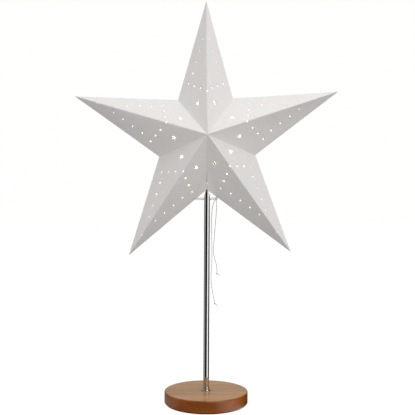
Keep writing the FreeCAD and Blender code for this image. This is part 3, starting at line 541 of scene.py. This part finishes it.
bulb_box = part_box("bulb_glass")
bulb_radius = (bulb_box[1][0] - bulb_box[0][0]) / 2
bulb_middle = bulb_box[1][2] - bulb_radius
glow_data = bpy.data.lights.new("bulb_light", "POINT")
glow_data.energy = 0.22
glow_data.color = (1.0, 0.72, 0.42)
glow_data.shadow_soft_size = 0.012
glow = bpy.data.objects.new("bulb_light", glow_data)
glow.location = (0.0, 0.0, bulb_middle)
bpy.context.scene.collection.objects.link(glow)

# ---------------------------------------------------------------------------------------------
# Star.
# Five hollow arms folded from stiff white card, glued along the valleys, with rows of round
# holes and five-pointed holes punched before folding. The bottom valley is left open for the
# pole and tied with cord.

STAR_MIDDLE = np.array([0.0, 0.0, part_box("star_arm_top")[0][2]])
HALF_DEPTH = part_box("star_arm_top")[1][1]
POINT_RADIUS = 0.240
VALLEY_RADIUS = 0.086
CARD_THICKNESS = 0.0005
POLE_GAP = 0.0076
SEAM_GAP = 0.0006
SEAM_LENGTH = 0.044
GAP_LENGTH = 0.024
POINT_SWING = (0.74, 2.41, 0.88, 2.16, 0.23)
POINT_STRETCH = (-0.0014, 0.0001, 0.0012, 0.0015, 0.0002)
VALLEY_SWING = (4.34, 0.23, -0.4, 1.92, 0.94)
VALLEY_STRETCH = (-0.0029, 0.0007, 0.0003, 0.0019, -0.0014)
ARM_NAMES = ("top", "upper_right", "lower_right", "lower_left", "upper_left")
BOTTOM_VALLEY = 2

# holes, each placed by its distance along the side fold from the tip and its inset from it
SMALL_HOLE = 0.00175
STAR_HOLE = 0.005
STAR_HOLE_INNER = 0.0019
EDGE_START = 0.0697
EDGE_PITCH = 0.0201
EDGE_INSET = 0.0189
EDGE_HOLES = [(EDGE_START + EDGE_PITCH * step, EDGE_INSET) for step in range(4)]
CROSS_START = 0.149
CROSS_INSET = 0.0149
CROSS_PITCH = 0.0164
CROSS_LEAN = math.radians(10.4)
CROSS_HOLES = [(CROSS_START + CROSS_PITCH * step * math.sin(CROSS_LEAN),
                CROSS_INSET + CROSS_PITCH * step * math.cos(CROSS_LEAN)) for step in range(3)]
STAR_HOLE_SPOT = (0.181, 0.0498)
TIP_HOLE = 0.044
RIDGE_HOLE = math.hypot(CROSS_START + 3 * CROSS_PITCH * math.sin(CROSS_LEAN),
                        CROSS_INSET + 3 * CROSS_PITCH)
# how far each arm's punched pattern sits along its ridge, clockwise from the top arm
PUNCH_SLIDES = (-0.0015, 0.0052, 0.0138, 0.0052, 0.0039)
EYELET_INSET = 0.0032
EYELET_RADIUS = 0.0011

# the mesh of a leaf: spacing along folds, the grid inside, and how far its strip is drawn in
# from the tip, the valley and the middle
EDGE_SPACING = 0.0042
GRID_ALONG = 0.006
GRID_ACROSS = 0.0052
STRIP_DRAW = np.array([[0.045], [0.022], [0.02]])
GRID_MARGIN = 0.02


def star_corners(radius, first_degrees, swings, stretches):
    """Five corners of the star's outline, each a turn of 72 degrees after the last."""
    turn = np.radians(first_degrees - 72.0 * np.arange(5) + np.array(swings))
    reach = radius + np.array(stretches)
    level = np.zeros(5)
    return STAR_MIDDLE + np.stack([reach * np.cos(turn), level, reach * np.sin(turn)], axis=-1)


POINTS = star_corners(POINT_RADIUS, 90.0, POINT_SWING, POINT_STRETCH)
VALLEYS = star_corners(VALLEY_RADIUS, 54.0, VALLEY_SWING, VALLEY_STRETCH)


def unit(vector):
    """The vector's direction, with a length of 1."""
    return vector / np.linalg.norm(vector)


def circle_outline(centre, radius, sides=20):
    """A round hole as a closed ring of points."""
    turn = np.linspace(0.0, 2.0 * math.pi, sides, endpoint=False)
    return np.array(centre) + radius * np.stack([np.cos(turn), np.sin(turn)], axis=-1)


def star_outline(centre, outer, inner):
    """A five-pointed hole, one point towards the arm's tip."""
    step = np.arange(10)
    reach = np.where(step % 2 == 0, outer, inner)
    turn = math.pi + step * math.pi / 5
    return np.array(centre) + np.stack([reach * np.cos(turn), reach * np.sin(turn)], axis=-1)


def edge_spots(start, end, spacing):
    """Evenly spaced points from start up to, but not at, end."""
    count = max(2, int(round(np.linalg.norm(end - start) / spacing)))
    share = np.arange(count)[:, None] / count
    return start + (end - start) * share


def corner_weights(spots, corners):
    """How much of each corner a point is made of: its three barycentric weights."""
    sides = np.array([corners[1] - corners[0], corners[2] - corners[0]]).T
    rest = np.linalg.solve(sides, (spots - corners[0]).T).T
    return np.column_stack([1.0 - rest.sum(axis=1), rest])


def leaf_surface(tip, valley, middle, eyelet, slide):
    """One flat leaf of an arm. In its own plane, with distance along the side fold and inset
    from it as coordinates, it is a triangle with its holes left out, filled with a grid of
    points and with a narrow strip along every fold."""
    along = unit(valley - tip)
    across = unit((middle - tip) - along * np.dot(middle - tip, along))
    out = np.cross(along, across)
    out = out if np.dot(out, tip - STAR_MIDDLE) > 0 else -out

    def flat(spot):
        """A point of the plane in the leaf's own coordinates."""
        return np.array([np.dot(spot - tip, along), np.dot(spot - tip, across)])

    corners = np.array([flat(tip), flat(valley), flat(middle)])
    ridge = unit(corners[2])

    def triangle(ends):
        """Points along the three sides of a triangle."""
        return np.vstack([edge_spots(ends[place], ends[(place + 1) % 3], EDGE_SPACING)
                          for place in range(3)])

    outline = triangle(corners)
    inner_corners = corners + (corners.mean(axis=0) - corners) * STRIP_DRAW
    strip = triangle(inner_corners)
    holes = [circle_outline(np.array(spot) + ridge * slide, SMALL_HOLE)
             for spot in EDGE_HOLES + CROSS_HOLES]
    holes += [circle_outline(ridge * place, SMALL_HOLE) for place in (TIP_HOLE, RIDGE_HOLE + slide)]
    holes.append(star_outline(np.array(STAR_HOLE_SPOT) + ridge * slide, STAR_HOLE, STAR_HOLE_INNER))
    if eyelet is not None:
        holes.append(circle_outline(flat(eyelet), EYELET_RADIUS, 14))
    low, high = corners.min(axis=0), corners.max(axis=0)
    grid = np.stack(np.meshgrid(np.arange(low[0], high[0], GRID_ALONG),
                                np.arange(low[1], high[1], GRID_ACROSS)), axis=-1)
    grid[1::2, :, 0] += GRID_ALONG / 2
    spots = grid.reshape(-1, 2)
    weights = corner_weights(spots, inner_corners)
    spots = spots[(weights > GRID_MARGIN).all(axis=1)]

    sets = [outline, strip] + holes
    starts = np.cumsum([0] + [len(ring) for ring in sets])
    rings = [list(range(start, start + len(ring))) for start, ring in zip(starts, sets)]
    strip_edges = list(zip(rings[1], rings[1][1:] + rings[1][:1]))
    points = [Vector(spot) for spot in np.vstack(sets + [spots])]
    result = delaunay_2d_cdt(points, strip_edges, [rings[0]] + rings[2:], 1, 1e-7)
    flat_spots = np.array([tuple(spot) for spot in result[0]])
    kept = [face for face, source in zip(result[2], result[5]) if source == [0]]
    return flat_spots, np.array(kept), corners, along, across, out


def flat_beyond(flat, start, end):
    """Whether points lie past the line from start to end, on the valley's side."""
    line = end - start
    side = line[0] * (flat[:, 1] - start[1]) - line[1] * (flat[:, 0] - start[0])
    return side < 0


def fold_out(start, end, face):
    """The direction square to a front or back fold, away from the inside."""
    line = unit(end - start)
    out = np.array([0.0, face, 0.0])
    return unit(out - line * np.dot(out, line))


FOLD_DRAW = 0.00022
RIPPLE_SHARE = 0.25
RIPPLE_PACE = 95.0
RIPPLE_SHIFT = 4000.0
OPENING_CURVE = 1.15
LIGHT_INSIDE = 0.52
LIGHT_FROM_BELOW = 0.34
LIGHT_THROUGH = 0.16
LIGHT_REACH = 0.2


def leaf_points(tip, valley, middle, at_pole, belly, eyelet, slide):
    """Carry a leaf's flat points into place and return them with their faces, their distance to
    the nearest fold and their light from the bulb. The leaf is lifted off its plane by a shallow
    belly, 27 times the product of the three corner weights, with a slow ripple in it. Beside the
    pole it swings out by the weight of its valley corner."""
    flat, faces, corners, along, across, out = leaf_surface(tip, valley, middle, eyelet, slide)
    weights = np.clip(corner_weights(flat, corners), 0.0, 1.0)
    heights = [np.linalg.norm(corners[(k + 1) % 3] - corners[(k + 2) % 3]) for k in range(3)]
    area = abs(np.cross(corners[1] - corners[0], corners[2] - corners[0]))
    from_fold = np.min(weights * (area / np.array(heights)), axis=1)
    points = tip + flat[:, :1] * along + flat[:, 1:] * across
    bubble = 27.0 * weights.prod(axis=1)
    ripple = np.sin(flat[:, 0] * RIPPLE_PACE + belly * RIPPLE_SHIFT) * RIPPLE_SHARE * bubble
    points = points + out * ((bubble + ripple) * belly)[:, None]
    # the fold lines lie a hair inside the flat leaves, so that each fold looks rounded
    ends = np.array([weights[:, 0] * weights[:, 1], weights[:, 1] * weights[:, 2],
                     weights[:, 2] * weights[:, 0]]) * 4.0
    face = math.copysign(1.0, middle[1])
    ridge_out = fold_out(tip, middle, face)
    valley_out = fold_out(valley, middle, face)
    side_out = unit(np.array([-along[2], 0.0, along[0]]))
    side_out = side_out if np.dot(side_out, tip - STAR_MIDDLE) > 0 else -side_out
    on = weights < 1e-5
    draw = (np.outer(on[:, 2] * ends[0], -side_out) + np.outer(on[:, 0] * ends[1], valley_out)
            + np.outer(on[:, 1] * ends[2], -ridge_out))
    points = points + FOLD_DRAW * draw
    if at_pole:
        bend = corners[1] * (1.0 - GAP_LENGTH / np.linalg.norm(corners[1]))
        seam_end = corners[1] + unit(corners[2] - corners[1]) * SEAM_LENGTH
        opening = np.clip(corner_weights(flat, np.array([bend, corners[1], seam_end])), 0.0, 1.0)
        lift = np.where(flat_beyond(flat, bend, seam_end), opening[:, 1] ** OPENING_CURVE, 0.0)
        shift = np.array([math.copysign(SEAM_GAP, tip[0]), face * POLE_GAP, 0.0])
        points = points + lift[:, None] * shift
    if np.dot(np.cross(along, across), out) < 0:
        faces = faces[:, ::-1]
    # the bulb's light: strong on the inside, and a little of it through the lower leaves
    inner_light = np.full(len(points), LIGHT_INSIDE - LIGHT_FROM_BELOW * out[2])
    apart = np.linalg.norm(points - STAR_MIDDLE, axis=1)
    nearness = np.clip(1.0 - apart / LIGHT_REACH, 0.0, 1.0)
    outer_light = LIGHT_THROUGH * nearness * np.clip(0.4 - 1.2 * out[2], 0.0, 1.0)
    return points, faces, from_fold, np.stack([inner_light, outer_light], axis=-1)


def eyelet_spot(arm):
    """Where the tie goes through a lower arm, just inside its side fold."""
    fold = unit(POINTS[arm] - VALLEYS[BOTTOM_VALLEY])
    inward = np.array([-fold[2], 0.0, fold[0]])
    inward = inward if np.dot(inward, STAR_MIDDLE - VALLEYS[BOTTOM_VALLEY]) > 0 else -inward
    return VALLEYS[BOTTOM_VALLEY] + fold * GAP_LENGTH + inward * EYELET_INSET


# how far the leaves' planes lie from the star's middle, and how sharp a fold has to be to show
LEAF_DISTANCE = HALF_DEPTH * 0.7355
FOLD_SHARP = math.radians(62.0)


def arm_mesh(name, arm, bellies):
    """The folded arm: its four leaves joined along the folds, an inner skin drawn in towards the
    star's middle by the card's thickness, and the cut edges between them."""
    points, faces, fold, light = [], [], [], []
    count = 0
    for side in (arm - 1, arm):
        for face in (-1, 1):
            middle = STAR_MIDDLE + np.array([0.0, face * HALF_DEPTH, 0.0])
            at_pole = side == BOTTOM_VALLEY
            eyelet = eyelet_spot(arm) if at_pole else None
            spots, triangles, from_fold, from_bulb = leaf_points(
                POINTS[arm], VALLEYS[side], middle, at_pole, next(bellies), eyelet,
                PUNCH_SLIDES[arm])
            points.append(spots)
            faces.append(triangles + count)
            fold.append(from_fold)
            light.append(from_bulb)
            count += len(spots)
    points, faces = np.vstack(points), np.vstack(faces)
    fold, light = np.concatenate(fold), np.vstack(light)
    _, first, same = np.unique(np.round(points, 6), axis=0, return_index=True,
                               return_inverse=True)
    points, fold, light, faces = points[first], fold[first], light[first], same.reshape(-1)[faces]
    used, faces = np.unique(faces, return_inverse=True)
    points, fold, light, faces = points[used], fold[used], light[used], faces.reshape(-1, 3)

    edges = faces[:, [0, 1, 1, 2, 2, 0]].reshape(-1, 2)
    keys = np.sort(edges, axis=1)
    _, which, times = np.unique(keys, axis=0, return_inverse=True, return_counts=True)
    rim = edges[times[which.reshape(-1)] == 1]
    inner = STAR_MIDDLE + (points - STAR_MIDDLE) * (1.0 - CARD_THICKNESS / LEAF_DISTANCE)
    total = len(points)
    skin = [tuple(face) for face in faces] + [tuple(face) for face in faces[:, ::-1] + total]
    cut = [(b, a, a + total, b + total) for a, b in rim]
    mesh = bpy.data.meshes.new(name)
    mesh.from_pydata(np.vstack([points, inner]).tolist(), [], skin + cut)
    mesh.update()
    mesh.shade_smooth()
    mesh.set_sharp_from_angle(angle=FOLD_SHARP)
    for title, outside, inside in (("fold_distance", fold, fold),
                                   ("bulb_light", light[:, 1], light[:, 0])):
        attribute = mesh.attributes.new(title, "FLOAT", "POINT")
        attribute.data.foreach_set("value", np.concatenate([outside, inside]).astype(np.float32))
    return mesh


def white_card():
    """Stiff uncoated white card: faint fibre mottling, a painted shade darkening every fold within
    about a millimetre, and the bulb's light as each point's attribute gives it."""
    material, tree, output = new_material("white_card")
    shader = tree.nodes.new("ShaderNodeBsdfPrincipled")
    node = uneven(tree, 240.0, 2600.0)
    body = blend_colours(tree, ranged(tree, node.outputs["Tone"], 0.0, 1.0),
                         (0.775, 0.765, 0.755), (0.815, 0.805, 0.795))
    # painted shade: every fold is darker within about a millimetre of it
    fold = tree.nodes.new("ShaderNodeAttribute")
    fold.attribute_name = "fold_distance"
    fold_shade = ranged(tree, fold.outputs["Fac"], 0.55, 0.0, 0.0, 0.0011)
    shaded_folds = tree.nodes.new("ShaderNodeMix")
    shaded_folds.data_type = "RGBA"
    shaded_folds.inputs["B"].default_value = (0.70, 0.69, 0.68, 1.0)
    tree.links.new(fold_shade, shaded_folds.inputs["Factor"])
    tree.links.new(body, shaded_folds.inputs["A"])
    tree.links.new(shaded_folds.outputs["Result"], shader.inputs["Base Color"])
    tree.links.new(ranged(tree, node.outputs["Tone"], 0.8, 0.92), shader.inputs["Roughness"])
    lit = tree.nodes.new("ShaderNodeAttribute")
    lit.attribute_name = "bulb_light"
    tree.links.new(blend_colours(tree, lit.outputs["Fac"], (0.0, 0.0, 0.0), (1.0, 0.93, 0.85)),
                   shader.inputs["Emission Color"])
    shader.inputs["Emission Strength"].default_value = 0.55
    shader.inputs["Specular IOR Level"].default_value = 0.3
    bumped(tree, shader, node.outputs["Height"], 0.25, 0.00012)
    tree.links.new(shader.outputs["BSDF"], output.inputs["Surface"])
    return material


card = white_card()
BELLY = 0.0011
bellies = iter(np.random.default_rng(7).uniform(-BELLY, BELLY, 20))
for arm, arm_name in enumerate(ARM_NAMES):
    folded = placed(arm_mesh(f"card_arm_{arm_name}", arm, bellies), card, "star")
    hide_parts(f"star_arm_{arm_name}")

for node in ("support_ring", "support_wire"):
    finish_node(node, zinc_steel)

# ---------------------------------------------------------------------------------------------
# Tie cord.
# A thin twisted cotton cord, threaded through the two eyelets and knotted in front of the right
# one. Its two ends hang down beside the pole, each with a knot and a short tail.

TIE_DIAMETER = 0.0013
TIE_ROUTE = [
    (0.01604, -0.0034, 0.35209),
    (0.02054, -0.0050, 0.35399),
    (0.02064, -0.0016, 0.35464),
    (0.02064, 0.0026, 0.35459),
    (0.01944, 0.0054, 0.35299),
    (0.0095, 0.00705, 0.35222),
    (0.0, 0.00775, 0.35172),
    (-0.0095, 0.00705, 0.35222),
    (-0.01973, 0.0054, 0.35145),
    (-0.02093, 0.0026, 0.35305),
    (-0.02093, -0.0016, 0.35310),
    (-0.02073, -0.0050, 0.35165),
    (-0.01943, -0.0026, 0.34885),
    (-0.0100, 0.00625, 0.34962),
    (0.0, 0.00755, 0.34932),
    (0.0085, 0.00605, 0.34952),
    (0.01444, 0.0002, 0.34999),
]
LONG_END = [
    (0.01454, -0.0026, 0.34919),
    (0.01034, -0.0037, 0.34309),
    (0.00824, -0.0042, 0.32809),
    (0.00774, -0.0044, 0.30609),
    (0.00864, -0.0044, 0.27809),
    (0.00914, -0.0040, 0.25009),
    (0.00784, -0.0038, 0.22809),
    (0.00734, -0.0040, 0.21009),
    (0.00984, -0.0042, 0.19109),
    (0.01404, -0.0042, 0.17229),
]
SHORT_END = [
    (0.01584, -0.0028, 0.34899),
    (0.01664, -0.0046, 0.34109),
    (0.01594, -0.0054, 0.32509),
    (0.01404, -0.0058, 0.30309),
    (0.01204, -0.0058, 0.27609),
    (0.01114, -0.0056, 0.25709),
    (0.01444, -0.0056, 0.24509),
    (0.01744, -0.0058, 0.23459),
    (0.01774, -0.0058, 0.22369),
]


def route_line(route):
    """The smooth line of a cord: a NURBS spline with the route's points as its control points,
    read back as points close together."""
    data = bpy.data.curves.new("route", "CURVE")
    data.dimensions = "3D"
    data.resolution_u = 14
    spline = data.splines.new("NURBS")
    spline.points.add(len(route) - 1)
    for point, place in zip(spline.points, route):
        point.co = (*place, 1.0)
    spline.order_u = 3
    spline.use_endpoint_u = True
    holder = bpy.data.objects.new("route", data)
    line = bpy.data.meshes.new_from_object(holder)
    points = np.array([vertex.co[:] for vertex in line.vertices])
    bpy.data.meshes.remove(line)
    bpy.data.objects.remove(holder)
    return points


def line_frames(points):
    """Two directions square to the line at each point, carried along it without twisting."""
    ahead = np.gradient(points, axis=0)
    ahead /= np.linalg.norm(ahead, axis=1, keepdims=True)
    sides = np.empty_like(points)
    side = np.cross(ahead[0], (0.3, 0.9, 0.2))
    for place, direction in enumerate(ahead):
        side = side - direction * np.dot(side, direction)
        side = side / np.linalg.norm(side)
        sides[place] = side
    return sides, np.cross(ahead, sides)


CORD_LAY = 0.0042
CORD_STEP = 0.0006
STRAND_DEPTH = 0.14


def twisted_cord(name, points, diameter, round_steps=18):
    """A three-strand cord: round its line the radius rises and falls three times a turn, and the
    pattern turns once along each lay length. Both ends are closed."""
    run = np.concatenate([[0.0], np.cumsum(np.linalg.norm(np.diff(points, axis=0), axis=1))])
    fine = np.linspace(0.0, run[-1], int(run[-1] / CORD_STEP))
    line = np.stack([np.interp(fine, run, points[:, axis]) for axis in range(3)], axis=-1)
    first, second = line_frames(line)
    turn = np.linspace(0.0, 2.0 * math.pi, round_steps, endpoint=False)
    phase = 3.0 * (turn[None, :] + (2.0 * math.pi * fine / CORD_LAY)[:, None])
    radius = diameter / 2 * (1.0 - STRAND_DEPTH + STRAND_DEPTH * np.abs(np.cos(phase / 2.0)))
    tube = (line[:, None] + radius[..., None] * (np.cos(turn)[None, :, None] * first[:, None]
            + np.sin(turn)[None, :, None] * second[:, None]))
    ends = [np.repeat(end[:, None], round_steps, axis=1) for end in (line[:1], line[-1:])]
    mesh = grid_mesh(name, np.concatenate([ends[0], tube, ends[1]]), closed_round=True)
    mesh.shade_smooth()
    return mesh, line


# off-white cotton with a soft nap
cotton, cotton_shader = simple_finish("cotton_cord", (0.50, 0.49, 0.47), (0.72, 0.71, 0.69),
                                      (0.85, 0.95), 900.0, 4000.0, 0.5)
cotton_shader.inputs["Sheen Weight"].default_value = 0.3


def cord_piece(name, route, node):
    """One run of the cord along its route, in place of its CAD node and ending in its knot."""
    mesh, line = twisted_cord(name, route_line(route), TIE_DIAMETER)
    piece = placed(mesh, cotton, "star")
    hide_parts(node)


for node in ("tie_knot", "end_knot_long", "end_knot_short"):
    finish_node(node, cotton)
cord_piece("tie_round_pole", TIE_ROUTE, "tie_loop")
cord_piece("long_tie_end", LONG_END, "tie_end_long")
cord_piece("short_tie_end", SHORT_END, "tie_end_short")
